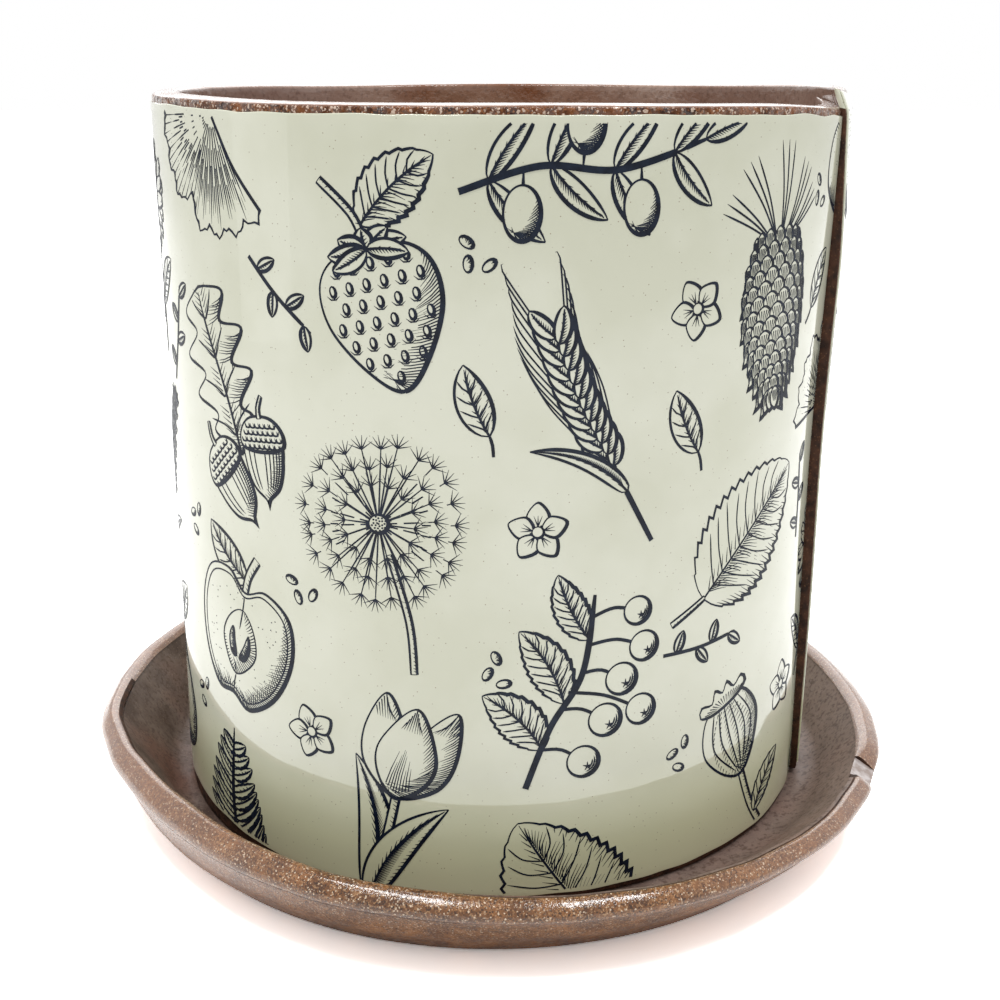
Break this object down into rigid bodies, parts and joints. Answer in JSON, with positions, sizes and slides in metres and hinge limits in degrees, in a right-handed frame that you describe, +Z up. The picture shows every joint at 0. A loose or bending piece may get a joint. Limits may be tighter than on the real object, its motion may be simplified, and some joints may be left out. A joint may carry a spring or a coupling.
{
  "type": "planter with drip saucer",
  "caption": "Tabletop stoneware planter: a rolled-slab cylinder with a lapped side seam and a drain hole, standing loose in a flared hand-formed drip saucer.",
  "frame": {"origin": "middle of the saucer's underside, on the surface it stands on", "axes": "+Z up along the pot's axis, -Y the front as seen in the picture, +X to the right, where the seam is"},
  "size_m": [0.176, 0.176, 0.1525],
  "materials": {
    "saucer_clay": "satin grey-brown glaze",
    "coarse_clay": "gloss over coarse speckled brown clay",
    "pot_clay": "gloss over chestnut brown clay",
    "pale_slip": "gloss over pale green-cream slip with dark blue printed lines"
  },
  "bodies": {
    "saucer": {"saucer_dish": "saucer_clay", "saucer_rim": "coarse_clay"},
    "pot": {"wall_slab": "pot_clay", "slip_coat": "pale_slip", "pot_floor": "pot_clay", "floor_coil": "pot_clay"}
  },
  "joints": [
    {"name": "pot_lift", "type": "slide", "parent": "saucer", "child": "pot", "axis": [0, 0, 1], "range_m": [0, 0.12]}
  ]
}
